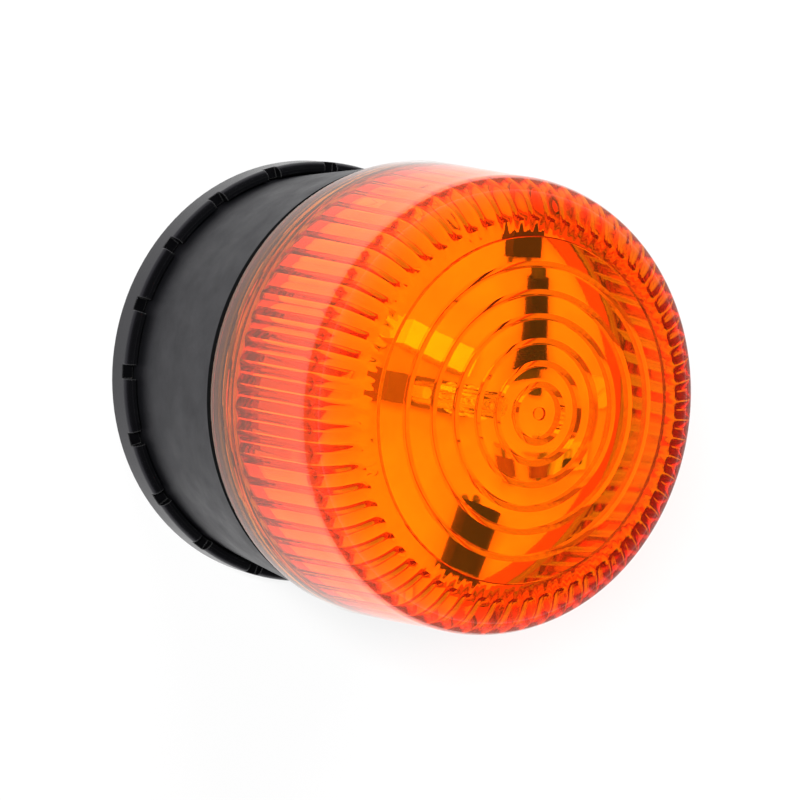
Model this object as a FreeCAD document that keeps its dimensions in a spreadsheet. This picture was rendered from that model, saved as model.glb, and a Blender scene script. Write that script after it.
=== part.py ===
"""Surface mounted amber flashing warning light.

+Z runs along the lamp axis, from the mounting face to the lens.
+Y is up and +X is right when the light hangs on a wall and is seen from the front.
The origin is the centre of the mounting face.  All sizes are millimetres.
"""
import FreeCAD, Part
import Sketcher
import math
import os
import re

DOC = FreeCAD.newDocument("WarningLight")
SHEET = DOC.addObject("Spreadsheet::Sheet", "Sheet")
AXIS = FreeCAD.Vector(0, 0, 1)
ORIGIN = FreeCAD.Vector(0, 0, 0)
NODES = []

# Driving dimensions: alias, value in millimetres or degrees, or a count.
SIZES = {
    # mounting base
    "base_radius": 46.5, "base_floor": 3.0, "cable_radius": 10.0,
    "rim_height": 7.0, "rim_inner": 43.9, "rim_skin": 5.2, "rim_draft": 0.2, "rim_round": 1.8,
    "rim_lip_round": 0.5, "notch_count": 20, "notch_width": 3.0, "notch_depth": 2.3,
    "fixing_spacing": 60.0, "fixing_radius": 2.25, "fixing_recess_radius": 4.75,
    "fixing_recess_depth": 1.2,
    "gasket_inner": 34.0, "gasket_outer": 36.5, "gasket_depth": 1.0,
    "head_seal_inner": 41.3, "head_seal_outer": 43.1, "head_seal_depth": 1.0, "head_seal_top": 3.3,
    # bayonet between base and housing
    "collar_inner": 37.4, "collar_outer": 39.0, "collar_top": 9.4,
    "ledge_outer": 40.6, "ledge_bottom": 7.0, "ledge_span": 24.0, "bayonet_count": 3,
    "lug_inner": 39.4, "lug_bottom": 4.4, "lug_top": 6.7, "stop_span": 3.0, "stop_gap": 1.0,
    # housing
    "barrel_bottom": 3.4, "barrel_foot_radius": 43.5, "barrel_foot_top": 7.0,
    "barrel_radius": 45.6, "barrel_top": 43.4, "barrel_edge": 0.5, "barrel_wall": 2.5,
    "bulkhead_bottom": 17.0, "bulkhead_thickness": 2.0, "flange_bottom": 41.0,
    "spigot_radius": 42.5, "spigot_top": 52.0, "spigot_bore": 38.6, "board_seat_radius": 41.0,
    "boss_radius": 3.4, "boss_circle": 36.4, "boss_height": 6.4, "board_screw_angle": 120.0,
    # lens thread
    "thread_pitch": 2.0, "thread_turns": 2.4, "thread_start": 46.9,
    "male_crest": 43.7, "female_root": 44.0, "female_crest": 42.85, "thread_embed": 0.3,
    "thread_tip_width": 0.5, "thread_foot_width": 1.0,
    # lens and its seal
    "seal_bottom": 43.55, "seal_inner": 43.95, "seal_outer": 46.1, "seal_round": 0.6,
    "lens_rear": 46.0, "lens_radius": 46.5, "band_top": 53.0, "band_radius": 46.0,
    "wall_top": 75.8, "wall_radius": 43.9, "shoulder_round": 9.9,
    "face_radius": 34.7, "face_edge": 86.0, "lens_top": 90.0, "rear_edge_round": 0.5,
    "flute_count": 64, "flute_depth": 1.4, "flute_bottom": 53.4, "flute_foot_radius": 44.0,
    "shoulder_wall": 2.4, "flute_top": 83.5, "face_wall": 1.7, "tooth_height": 1.9, "tooth_base": 1.15,
    "land_rise": 0.35, "pip_radius": 1.1, "pip_height": 0.8,
    "ring_1": 4.8, "ring_2": 8.7, "ring_3": 12.8, "ring_4": 17.3, "ring_5": 21.7, "ring_6": 26.85,
    "ring_7": 32.4,
    # terminals in the base
    "block_length": 36.0, "block_width": 12.0, "block_top": 14.6, "block_y": 22.5,
    "terminal_count": 4, "terminal_pitch": 8.0, "chamber_width": 5.8, "chamber_length": 9.0,
    "chamber_bottom": 4.2, "chamber_top": 12.0, "cage_width": 5.4, "cage_length": 7.4,
    "cage_bottom": 4.4, "cage_height": 6.2, "cage_floor": 1.0, "cage_roof": 1.4, "cage_side": 0.7,
    "cage_y": 21.5, "screw_head_radius": 2.4, "screw_head_bottom": 12.8, "screw_head_height": 1.5,
    "screw_shank_radius": 1.3, "screw_clearance": 0.1, "screw_tip": 8.85, "screw_slot": 0.8,
    "screw_slot_depth": 0.8, "well_radius": 2.6, "tongue_bottom": 8.0, "tongue_thickness": 0.7,
    "tongue_width": 3.4, "tongue_start": 18.0, "contact_circle": 31.0,
    "contact_offset": 15.0, "spring_width": 5.0,
    "spring_thickness": 0.5, "spring_top": 16.2, "spring_curl": 0.8,
    # contacts and leads in the housing
    "pad_inner": 27.5, "pad_outer": 34.0, "pad_bottom": 16.3, "pad_span": 14.0,
    "rivet_radius": 1.2, "rivet_top": 20.2, "lead_radius": 0.9,
    # main board
    "board_radius": 40.7, "board_thickness": 1.6, "board_screw_head": 2.7,
    "board_screw_head_height": 1.9, "board_screw_shank": 1.3, "board_screw_length": 5.0,
    # fibre ring over the end of the spigot
    "edge_ring_inner": 39.3, "edge_ring_outer": 42.3, "edge_ring_thickness": 0.8,
    "edge_ring_lip": 0.5,
    # flash tube and its carrier
    "carrier_length": 23.0, "carrier_width": 5.6, "carrier_height": 4.0, "carrier_x": -1.4,
    "carrier_end_length": 5.0, "carrier_end_height": 6.5, "carrier_angle": -9.0,
    "tube_spacing": 9.0, "tube_radius": 2.2, "tube_bore": 1.3, "tube_bottom": 55.0,
    "tube_straight": 15.0, "electrode_radius": 1.1, "electrode_length": 5.0, "pin_radius": 0.45,
    "wire_radius": 0.25, "wire_coil_pitch": 3.0, "wire_coil_turns": 4.0,
    # parts on the lens side of the board
    "can_radius": 3.6, "sleeve_wall": 0.25, "can_length": 14.0, "can_x": 9.5, "can_y": -27.0,
    "can_angle": 69.0, "can_cap_radius": 2.8, "can_groove_depth": 0.4, "can_groove_place": 2.6,
    "film_length": 18.5, "film_width": 4.8, "film_height": 6.0, "film_x": 0.3, "film_y": 8.6,
    "film_angle": -22.0,
    "choke_core_radius": 1.3, "choke_core_length": 24.0, "choke_coil_radius": 2.0,
    "choke_coil_length": 20.5, "choke_x": 23.3, "choke_y": 12.0, "choke_angle": 92.0,
    "diode_radius": 1.2, "diode_length": 3.4, "diode_x": 20.5, "diode_y": -12.0, "diode_pitch": 5.0,
    "diode_count": 2, "lead_wire_radius": 0.35, "lead_reach": 2.0, "axial_lift": 0.3,
    "bridge_length": 6.4, "bridge_width": 4.7, "bridge_height": 2.6, "bridge_x": 19.5,
    "bridge_y": 28.5, "bridge_leg_reach": 1.2, "bridge_leg_thickness": 0.4, "bridge_leg_pitch": 4.0,
    # parts on the rear side of the board
    "trigger_length": 9.0, "trigger_width": 8.0, "trigger_height": 9.0, "trigger_x": -14.0,
    "trigger_y": -12.0,
    "transistor_width": 10.0, "transistor_depth": 4.4, "transistor_height": 9.2,
    "transistor_lift": 2.0, "tab_thickness": 1.3, "tab_height": 15.4, "tab_eye_radius": 1.8,
    "tab_eye_margin": 3.0, "transistor_x": 12.0, "transistor_y": -20.0, "leg_width": 0.9,
    "chip_length": 9.6, "chip_width": 6.4, "chip_height": 3.3, "chip_x": -12.0, "chip_y": 12.0,
    "chip_lift": 0.6, "chip_pin_width": 1.0, "chip_pin_thickness": 0.3, "chip_pin_pitch": 2.54,
    "chip_pins_side": 4,
    "resistor_radius": 1.2, "resistor_length": 6.3, "resistor_x": 6.0, "resistor_y": 4.0,
    "resistor_pitch": 4.0, "resistor_count": 3,
    # option switch on the board
    "switch_length": 6.6, "switch_width": 5.4, "switch_height": 3.2, "switch_x": 30.0,
    "switch_y": -10.5, "slider_pitch": 2.54, "slider_count": 2, "slider_width": 1.3,
    "slider_length": 1.6, "slider_travel": 1.5, "slider_depth": 1.0, "slider_stand": 0.5,
    "slider_gap": 0.15,
}


# ---------------------------------------------------------------- the sheet

def fill_sheet():
    """Write every driving dimension as a plain number with an alias."""
    for row, (alias, value) in enumerate(SIZES.items(), start=1):
        SHEET.set("A%d" % row, alias)
        SHEET.set("B%d" % row, str(value))
        SHEET.setAlias("B%d" % row, alias)
    DOC.recompute()


def linked(formula):
    """Point every alias in a formula at the sheet."""
    def link(word):
        name = word.group()
        return "Sheet." + name if name in SIZES else name
    return re.sub(r"[a-z_][a-z_0-9]*", link, str(formula))


def size(alias):
    """One cell of the sheet as a number."""
    return float(getattr(SHEET, alias))


def number(formula):
    """The value of a formula of sheet aliases."""
    result = SHEET.evalExpression(linked(formula))
    return float(getattr(result, "Value", result))


def bind(thing, **formulas):
    """Tie properties of an object to formulas; __ in a name stands for a dot."""
    for name, formula in formulas.items():
        thing.setExpression(name.replace("__", "."), linked(formula))
    return thing


def node(name, thing):
    """Name a finished sub-part and put it on the list of what is written."""
    thing.Label = name
    NODES.append((name, thing))
    return thing


# ------------------------------------------------------------ Part workbench

def box(name, length, width, height, x=0, y=0, z=0, turn=0):
    """A block whose footprint is centred on x, y and turned about its own centre."""
    block = DOC.addObject("Part::Box", name)
    block.Placement.Rotation = FreeCAD.Rotation(AXIS, 1)
    bind(block, Length=length, Width=width, Height=height)
    bind(block, Placement__Rotation__Angle=turn)
    bind(block, Placement__Base__x="%s - (%s)/2*cos(%s) + (%s)/2*sin(%s)" % (x, length, turn, width, turn))
    bind(block, Placement__Base__y="%s - (%s)/2*sin(%s) - (%s)/2*cos(%s)" % (y, length, turn, width, turn))
    bind(block, Placement__Base__z=z)
    return block


def cylinder(name, radius, height, x=0, y=0, z=0):
    """A cylinder standing on z."""
    rod = DOC.addObject("Part::Cylinder", name)
    bind(rod, Radius=radius, Height=height)
    return bind(rod, Placement__Base__x=x, Placement__Base__y=y, Placement__Base__z=z)


def lying_cylinder(name, radius, length, x, y, z, turn):
    """A cylinder centred on x, y, z whose axis is level and points along the angle turn."""
    rod = DOC.addObject("Part::Cylinder", name)
    tilt = FreeCAD.Rotation(FreeCAD.Vector(0, 1, 0), 90)
    rod.Placement.Rotation = FreeCAD.Rotation(AXIS, number(turn)).multiply(tilt)
    bind(rod, Radius=radius, Height=length)
    bind(rod, Placement__Base__x="%s - (%s)/2*cos(%s)" % (x, length, turn))
    bind(rod, Placement__Base__y="%s - (%s)/2*sin(%s)" % (y, length, turn))
    return bind(rod, Placement__Base__z=z)


def combined(kind, name, things):
    """A union or a loose group of several objects."""
    whole = DOC.addObject(kind, name)
    if kind == "Part::Compound":
        whole.Links = things
    else:
        whole.Shapes = things
    return whole


def fused(name, things):
    return combined("Part::MultiFuse", name, things)


def grouped(name, things):
    return combined("Part::Compound", name, things)


def cut(name, base, tools):
    """A base with one tool, or the union of several, taken away."""
    result = DOC.addObject("Part::Cut", name)
    result.Base = base
    result.Tool = tools[0] if len(tools) == 1 else fused(name + "_tools", tools)
    return result


def ring_sector(name, inner, outer, z, height, start, span):
    """Part of a ring, from an angle start through the angle span."""
    parts = []
    for label, radius in (("_outer", outer), ("_inner", inner)):
        wedge = cylinder(name + label, radius, height, z=z)
        parts.append(wedge)
    parts[0].Placement.Rotation = FreeCAD.Rotation(AXIS, 1)
    bind(parts[0], Angle=span, Placement__Rotation__Angle=start)
    return cut(name, parts[0], parts[1:])


# ------------------------------------------------------ PartDesign workbench

def new_body(name):
    return DOC.addObject("PartDesign::Body", name)


def origin_feature(body, role):
    """One of a body's own origin planes or axes."""
    return [item for item in body.Origin.OriginFeatures if item.Role == role][0]


def new_sketch(body, name, role, lift=None):
    """A sketch on one of the body's origin planes, lifted along its normal."""
    sketch = body.newObject("Sketcher::SketchObject", name)
    sketch.AttachmentSupport = (origin_feature(body, role), [""])
    sketch.MapMode = "FlatFace"
    if lift is not None:
        bind(sketch, AttachmentOffset__Base__z=lift)
    return sketch


def pin_point(sketch, index, end, x, y):
    """Fix one end of a sketch line by its distances from the origin."""
    for kind, formula in (("DistanceX", x), ("DistanceY", y)):
        rule = Sketcher.Constraint(kind, -1, 1, index, end, number(formula))
        place = sketch.addConstraint(rule)
        bind(sketch, **{"Constraints[%d]" % place: formula})


def arc_between(start, end, radius):
    """The arc from start to end, counter-clockwise about its centre."""
    chord = end - start
    middle = (start + end) * 0.5
    height = math.sqrt(max(radius ** 2 - (chord.Length / 2) ** 2, 0.0))
    side = FreeCAD.Vector(-chord.y, chord.x, 0).normalize()
    centre = middle + side * height
    angles = [math.atan2(point.y - centre.y, point.x - centre.x) for point in (start, end)]
    return Part.ArcOfCircle(Part.Circle(centre, AXIS, radius), angles[0], angles[1])


def draw_outline(sketch, corners):
    """A closed counter-clockwise outline of (x, y) corners.

    A third value on a corner is the radius of an outward arc from it to the next corner.
    """
    first = sketch.GeometryCount
    points = [FreeCAD.Vector(number(corner[0]), number(corner[1]), 0) for corner in corners]
    count = len(corners)
    for place, corner in enumerate(corners):
        start, end = points[place], points[(place + 1) % count]
        if len(corner) == 3:
            sketch.addGeometry(arc_between(start, end, number(corner[2])), False)
        else:
            sketch.addGeometry(Part.LineSegment(start, end), False)
    for place in range(count):
        follower = first + (place + 1) % count
        sketch.addConstraint(Sketcher.Constraint("Coincident", first + place, 2, follower, 1))
    for place, corner in enumerate(corners):
        pin_point(sketch, first + place, 1, corner[0], corner[1])
        if len(corner) == 3:
            rule = Sketcher.Constraint("Radius", first + place, number(corner[2]))
            spot = sketch.addConstraint(rule)
            bind(sketch, **{"Constraints[%d]" % spot: corner[2]})


def draw_circle(sketch, x, y, radius):
    """A circle fixed by its centre and radius."""
    centre = FreeCAD.Vector(number(x), number(y), 0)
    index = sketch.addGeometry(Part.Circle(centre, AXIS, number(radius)), False)
    pin_point(sketch, index, 3, x, y)
    rule = Sketcher.Constraint("Radius", index, number(radius))
    spot = sketch.addConstraint(rule)
    bind(sketch, **{"Constraints[%d]" % spot: radius})


def turned_body(name, corners):
    """A body of revolution from (radius, height) corners."""
    body = new_body(name)
    sketch = new_sketch(body, name + "_profile", "XZ_Plane")
    draw_outline(sketch, corners)
    turned = body.newObject("PartDesign::Revolution", name + "_turned")
    turned.Profile = sketch
    turned.ReferenceAxis = (sketch, ["V_Axis"])
    turned.Angle = 360
    DOC.recompute()
    return body


def pocket(body, name, sketch, depth):
    """A pocket of a given depth below its sketch; it must take material away."""
    before = body.Shape.Volume
    hole = body.newObject("PartDesign::Pocket", name)
    hole.Profile = sketch
    bind(hole, Length=depth)
    DOC.recompute()
    if not body.Shape.Volume < before:
        raise RuntimeError(name + " cut nothing")
    return hole


# ------------------------------------------------------------- mounting base

def base_shell():
    """Turned floor, rim and bayonet collar, with the notches and fixing holes cut."""
    body = turned_body("base_shell", [
        ("cable_radius", "0"),
        ("gasket_inner", "0"),
        ("gasket_inner", "gasket_depth"),
        ("gasket_outer", "gasket_depth"),
        ("gasket_outer", "0"),
        ("base_radius", "0"),
        ("base_radius - rim_draft", "rim_skin", "rim_round"),
        ("base_radius - rim_draft - 0.75*rim_round", "rim_height"),
        ("rim_inner + rim_lip_round", "rim_height", "rim_lip_round"),
        ("rim_inner", "rim_height - rim_lip_round"),
        ("rim_inner", "base_floor"),
        ("head_seal_outer", "base_floor"),
        ("head_seal_outer", "base_floor - head_seal_depth"),
        ("head_seal_inner", "base_floor - head_seal_depth"),
        ("head_seal_inner", "base_floor"),
        ("collar_outer", "base_floor"),
        ("collar_outer", "collar_top"),
        ("collar_inner", "collar_top"),
        ("collar_inner", "base_floor"),
        ("cable_radius", "base_floor"),
    ])
    notch = new_sketch(body, "notch_outline", "XY_Plane", "rim_height")
    draw_outline(notch, [
        ("-base_radius - 1", "-notch_width/2"),
        ("-rim_inner + 0.4", "-notch_width/2"),
        ("-rim_inner + 0.4", "notch_width/2"),
        ("-base_radius - 1", "notch_width/2"),
    ])
    notch_cut = pocket(body, "notch", notch, "notch_depth")
    one_notch = body.Shape.Volume
    ring = body.newObject("PartDesign::PolarPattern", "notches")
    ring.Originals = [notch_cut]
    ring.Axis = (origin_feature(body, "Z_Axis"), [""])
    ring.Angle = 360
    bind(ring, Occurrences="notch_count")
    body.Tip = ring
    DOC.recompute()
    if not body.Shape.Volume < one_notch:
        raise RuntimeError("the notch pattern cut nothing")
    for name, radius, depth in (("fixing_holes", "fixing_radius", "base_floor + 1"),
                                ("fixing_recesses", "fixing_recess_radius", "fixing_recess_depth")):
        outline = new_sketch(body, name + "_outline", "XY_Plane", "base_floor")
        for side in ("-", ""):
            draw_circle(outline, side + "fixing_spacing/2", "0", radius)
        pocket(body, name, outline, depth)
    return body


def bayonet_angles():
    """Formulas for the middle angle of each bayonet ledge."""
    return ["90 + %d*360/bayonet_count" % place for place in range(int(size("bayonet_count")))]


def build_base():
    """Base with the ledges that hold the head and a stop beside each."""
    pieces = [base_shell()]
    for place, middle in enumerate(bayonet_angles()):
        pieces.append(ring_sector("ledge_%d" % place, "collar_outer - 0.5", "ledge_outer", "ledge_bottom",
                                  "collar_top - ledge_bottom", middle + " - ledge_span/2", "ledge_span"))
        pieces.append(ring_sector("stop_%d" % place, "collar_outer - 0.5", "ledge_outer",
                                  "base_floor - 0.5", "collar_top - base_floor + 0.5",
                                  middle + " - ledge_span/2 - stop_gap - stop_span", "stop_span"))
    return node("mounting_base", fused("mounting_base", pieces))


def build_base_seals():
    """Foam gasket in the rear groove and the ring that the housing stands on."""
    node("base_gasket", turned_body("base_gasket", [
        ("gasket_inner", "0"),
        ("gasket_outer", "0"),
        ("gasket_outer", "gasket_depth"),
        ("gasket_inner", "gasket_depth"),
    ]))
    node("head_seal", turned_body("head_seal", [
        ("head_seal_inner + 0.1", "base_floor - head_seal_depth"),
        ("head_seal_outer - 0.1", "base_floor - head_seal_depth"),
        ("head_seal_outer - 0.1", "base_floor"),
        ("(head_seal_inner + head_seal_outer)/2", "head_seal_top"),
        ("head_seal_inner + 0.1", "base_floor"),
    ]))


# ----------------------------------------------------------------- terminals

def terminal_x(place):
    """Formula for the x of one terminal."""
    return "(%d - (terminal_count - 1)/2)*terminal_pitch" % place


def build_terminal_block():
    """Moulded block with a chamber, a screw well and a rear slot for each terminal."""
    block = box("block_body", "block_length", "block_width", "block_top - base_floor",
                y="block_y", z="base_floor")
    tools = []
    for place in range(int(size("terminal_count"))):
        x = terminal_x(place)
        tools.append(box("chamber_%d" % place, "chamber_width", "chamber_length + 1",
                         "chamber_top - chamber_bottom", x,
                         "block_y - block_width/2 + (chamber_length - 1)/2", "chamber_bottom"))
        tools.append(cylinder("well_%d" % place, "well_radius", "block_top - chamber_top",
                              x, "cage_y", "chamber_top"))
        tools.append(box("slot_%d" % place, "tongue_width", "block_width",
                         "tongue_thickness", x, "block_y + 1", "tongue_bottom"))
    node("terminal_block", cut("terminal_block", block, tools))


def build_terminal_screw(place):
    """Slotted screw that turns in its well."""
    x = terminal_x(place)
    name = "terminal_screw_%d" % (place + 1)
    solid = fused(name + "_body", [
        cylinder(name + "_head", "screw_head_radius", "screw_head_height", x, "cage_y", "screw_head_bottom"),
        cylinder(name + "_shank", "screw_shank_radius", "screw_head_bottom - screw_tip + 0.5",
                 x, "cage_y", "screw_tip"),
    ])
    slot = box(name + "_slot", "2*screw_head_radius + 1", "screw_slot", "screw_slot_depth + 1",
               x, "cage_y", "screw_head_bottom + screw_head_height - screw_slot_depth")
    node(name, cut(name, solid, [slot]))


def build_clamp_cage(place):
    """Rising cage: a square loop with the screw's hole in its roof."""
    x = terminal_x(place)
    name = "clamp_cage_%d" % (place + 1)
    loop = box(name + "_block", "cage_width", "cage_length", "cage_height", x, "cage_y", "cage_bottom")
    window = box(name + "_window", "cage_width - 2*cage_side", "cage_length + 1",
                 "cage_height - cage_floor - cage_roof", x, "cage_y", "cage_bottom + cage_floor")
    hole = cylinder(name + "_hole", "screw_shank_radius + screw_clearance", "cage_height",
                    x, "cage_y", "cage_bottom + cage_floor + 0.5")
    node(name, cut(name, loop, [window, hole]))


def build_contact_springs():
    """Two spring contacts, each with a tongue through two terminals."""
    springs = []
    half = int(size("terminal_count") / 2)
    for side in range(2):
        name = "spring_%d" % side
        pair = [side * half + step for step in range(half)]
        middle, back = contact_spot(side)
        pieces = [box("%s_tongue_%d" % (name, place), "tongue_width", back + " - tongue_start",
                      "tongue_thickness", terminal_x(place), "(%s + tongue_start)/2" % back,
                      "tongue_bottom") for place in pair]
        pieces.append(box(name + "_bridge", "terminal_pitch + tongue_width", "1",
                          "tongue_thickness", middle, back + " - 0.5", "tongue_bottom"))
        pieces.append(box(name + "_leaf", "spring_width", "spring_thickness",
                          "spring_top - spring_curl - tongue_bottom", middle,
                          back + " - spring_thickness/2", "tongue_bottom"))
        pieces.append(lying_cylinder(name + "_curl", "spring_curl", "spring_width", middle,
                                     back, "spring_top - spring_curl", "0"))
        springs.append(fused(name, pieces))
    node("contact_springs", grouped("contact_springs", springs))


# ------------------------------------------------------------------- threads

def thread_ridge(foot, crest, start, turns):
    """Right-hand helical ridge, as a solid, from a foot radius to a crest radius."""
    pitch = size("thread_pitch")
    length = pitch * turns
    helix = Part.makeHelix(pitch, length, foot)
    half_foot = size("thread_foot_width") / 2
    half_tip = size("thread_tip_width") / 2
    corners = [
        FreeCAD.Vector(foot, 0, -half_foot),
        FreeCAD.Vector(crest, 0, -half_tip),
        FreeCAD.Vector(crest, 0, half_tip),
        FreeCAD.Vector(foot, 0, half_foot),
    ]
    section = Part.makePolygon(corners + corners[:1])
    ridge = Part.Wire(helix).makePipeShell([section], True, True)
    ridge.translate(FreeCAD.Vector(0, 0, start))
    return ridge


def feature(name, shape):
    """A document object that holds a shape made from the sheet's sizes."""
    holder = DOC.addObject("Part::Feature", name)
    holder.Shape = shape
    return holder


# ------------------------------------------------------------------- housing

def housing_shell():
    """Turned barrel, bulkhead, flange and the spigot that carries the lens."""
    return turned_body("housing_shell", [
        ("0", "bulkhead_bottom"),
        ("barrel_foot_radius - barrel_wall", "bulkhead_bottom"),
        ("barrel_foot_radius - barrel_wall", "barrel_bottom"),
        ("barrel_foot_radius", "barrel_bottom"),
        ("barrel_foot_radius", "barrel_foot_top"),
        ("barrel_radius", "barrel_top - barrel_edge", "barrel_edge"),
        ("barrel_radius - barrel_edge", "barrel_top"),
        ("spigot_radius", "barrel_top"),
        ("spigot_radius", "spigot_top"),
        ("board_seat_radius", "spigot_top"),
        ("board_seat_radius", "spigot_top - board_thickness"),
        ("spigot_bore", "spigot_top - board_thickness"),
        ("spigot_bore", "flange_bottom"),
        ("barrel_radius - barrel_wall", "flange_bottom"),
        ("barrel_foot_radius - barrel_wall + 0.5", "bulkhead_bottom + bulkhead_thickness"),
        ("0", "bulkhead_bottom + bulkhead_thickness"),
    ])


def board_screw_spots():
    """Formulas for x and y of the screws that hold the board."""
    return [("boss_circle*cos(%d*board_screw_angle)" % place,
             "boss_circle*sin(%d*board_screw_angle)" % place) for place in range(3)]


def contact_angle(side):
    """Formula for the angle of one spring contact about the lamp axis."""
    return "90 + %d*contact_offset" % (1 - 2 * side)


def contact_spot(side):
    """Formulas for x and y of a spring contact and of the rivet above it."""
    angle = contact_angle(side)
    return "contact_circle*cos(%s)" % angle, "contact_circle*sin(%s)" % angle


def build_housing():
    """Housing with bayonet lugs, board bosses, lens thread and rivet holes."""
    board_seat = "spigot_top - board_thickness"
    pieces = [housing_shell()]
    for place, middle in enumerate(bayonet_angles()):
        pieces.append(ring_sector("lug_%d" % place, "lug_inner", "barrel_foot_radius - 1", "lug_bottom",
                                  "lug_top - lug_bottom", middle + " - ledge_span/2", "ledge_span"))
    for place, (x, y) in enumerate(board_screw_spots()):
        pieces.append(cylinder("boss_%d" % place, "boss_radius", "boss_height", x, y,
                               board_seat + " - boss_height"))
    whole = fused("housing_blank", pieces)
    tools = []
    for place, (x, y) in enumerate(board_screw_spots()):
        tools.append(cylinder("pilot_%d" % place, "board_screw_shank", "board_screw_length + 1",
                              x, y, board_seat + " - board_screw_length"))
    for side in range(2):
        x, y = contact_spot(side)
        tools.append(cylinder("rivet_hole_%d" % side, "rivet_radius", "bulkhead_thickness + 1",
                              x, y, "bulkhead_bottom - 0.5"))
    drilled = cut("housing_drilled", whole, tools)
    foot = size("spigot_radius") - size("thread_embed")
    ridge = feature("male_thread", thread_ridge(foot, size("male_crest"), size("thread_start"),
                                                size("thread_turns")))
    threaded = node("housing", fused("housing", [drilled, ridge]))
    threaded.Refine = False


def build_contacts():
    """Contact pads riveted through the bulkhead, and the leads up to the board."""
    pads = []
    for side in range(2):
        x, y = contact_spot(side)
        pad = ring_sector("pad_%d" % side, "pad_inner", "pad_outer", "pad_bottom",
                          "bulkhead_bottom - pad_bottom", contact_angle(side) + " - pad_span/2", "pad_span")
        rivet = cylinder("rivet_%d" % side, "rivet_radius", "rivet_top - pad_bottom", x, y, "pad_bottom")
        pads.append(fused("contact_pad_%d" % side, [pad, rivet]))
    node("contact_pads", grouped("contact_pads", pads))
    for side, name in enumerate(("lead_negative", "lead_positive")):
        x, y = contact_spot(side)
        length = "spigot_top - board_thickness - rivet_top"
        node(name, cylinder(name, "lead_radius", length, x, y, "rivet_top"))


# --------------------------------------------------------------------- board

def build_board():
    """Round main board with its screw holes, and the screws."""
    bottom = "spigot_top - board_thickness"
    disc = cylinder("board_disc", "board_radius", "board_thickness", z=bottom)
    holes = []
    screws = []
    for place, (x, y) in enumerate(board_screw_spots()):
        holes.append(cylinder("board_hole_%d" % place, "board_screw_shank + 0.2", "board_thickness + 1",
                              x, y, bottom + " - 0.5"))
        shank = cylinder("board_shank_%d" % place, "board_screw_shank",
                         "board_thickness + board_screw_length + 0.4", x, y,
                         bottom + " - board_screw_length")
        head = cylinder("board_head_%d" % place, "board_screw_head", "board_screw_head_height",
                        x, y, "spigot_top")
        slot = box("board_slot_%d" % place, "2*board_screw_head + 1", "screw_slot", "2",
                   x, y, "spigot_top + board_screw_head_height - screw_slot_depth", 35 + 50 * place)
        blank = fused("board_screw_blank_%d" % place, [head, shank])
        screws.append(cut("board_screw_%d" % place, blank, [slot]))
    node("main_board", cut("main_board", disc, holes))
    node("board_screws", grouped("board_screws", screws))


def build_edge_ring():
    """Fibre ring that covers the end of the spigot and the edge of the board."""
    top = "spigot_top + edge_ring_thickness"
    node("edge_ring", turned_body("edge_ring", [
        ("edge_ring_inner", "spigot_top"),
        ("edge_ring_outer", "spigot_top"),
        ("edge_ring_outer", top + " - edge_ring_lip", "edge_ring_lip"),
        ("edge_ring_outer - edge_ring_lip", top),
        ("edge_ring_inner", top),
    ]))


# ---------------------------------------------------------------- flash tube

def tube_spot(side):
    """Formulas for x and y of one leg of the tube; side is -1 or 1."""
    return "%d*tube_spacing/2*cos(carrier_angle)" % side, "%d*tube_spacing/2*sin(carrier_angle)" % side


def along_carrier(distance):
    """Formulas for x and y of a point on the carrier's middle line."""
    return "(%s)*cos(carrier_angle)" % distance, "(%s)*sin(carrier_angle)" % distance


def build_tube_carrier():
    """Moulded bar under the flash tube, with a taller block at one end and two sockets."""
    x, y = along_carrier("carrier_x")
    bar = box("carrier_bar", "carrier_length", "carrier_width", "carrier_height", x, y, "spigot_top",
              "carrier_angle")
    x, y = along_carrier("carrier_x - carrier_length/2 + carrier_end_length/2")
    end = box("carrier_end", "carrier_end_length", "carrier_width", "carrier_end_height", x, y, "spigot_top",
              "carrier_angle")
    holes = []
    for side in (-1, 1):
        x, y = tube_spot(side)
        holes.append(cylinder("socket_%d" % side, "tube_radius + 0.05", "carrier_height",
                              x, y, "tube_bottom"))
        holes.append(cylinder("socket_pin_%d" % side, "pin_radius", "carrier_height + 1", x, y,
                              "spigot_top - 0.5"))
    node("tube_carrier", cut("tube_carrier", fused("carrier_blank", [bar, end]), holes))


def u_tube(name, radius):
    """A U of round section: two legs and a half ring over them."""
    pieces = []
    for side in (-1, 1):
        x, y = tube_spot(side)
        pieces.append(cylinder("%s_leg_%d" % (name, side), radius, "tube_straight", x, y, "tube_bottom"))
    bend = DOC.addObject("Part::Torus", name + "_bend")
    upright = FreeCAD.Rotation(FreeCAD.Vector(1, 0, 0), 90)
    bend.Placement.Rotation = FreeCAD.Rotation(AXIS, size("carrier_angle")).multiply(upright)
    bind(bend, Radius1="tube_spacing/2", Radius2=radius, Angle3=180)
    bind(bend, Placement__Base__z="tube_bottom + tube_straight")
    return fused(name, pieces + [bend])


def build_flash_tube():
    """Glass U tube, its electrodes and the trigger wire wound on one leg."""
    node("flash_tube", cut("flash_tube", u_tube("tube_outside", "tube_radius"),
                           [u_tube("tube_inside", "tube_bore")]))
    electrodes = []
    for side in (-1, 1):
        x, y = tube_spot(side)
        electrodes.append(fused("electrode_%d" % side, [
            cylinder("electrode_pin_%d" % side, "pin_radius", "tube_bottom - spigot_top + 2",
                     x, y, "spigot_top"),
            cylinder("electrode_head_%d" % side, "electrode_radius", "electrode_length", x, y,
                     "tube_bottom + 1"),
        ]))
    node("tube_electrodes", grouped("tube_electrodes", electrodes))
    node("trigger_wire", feature("trigger_wire", trigger_wire_shape()))


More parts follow.
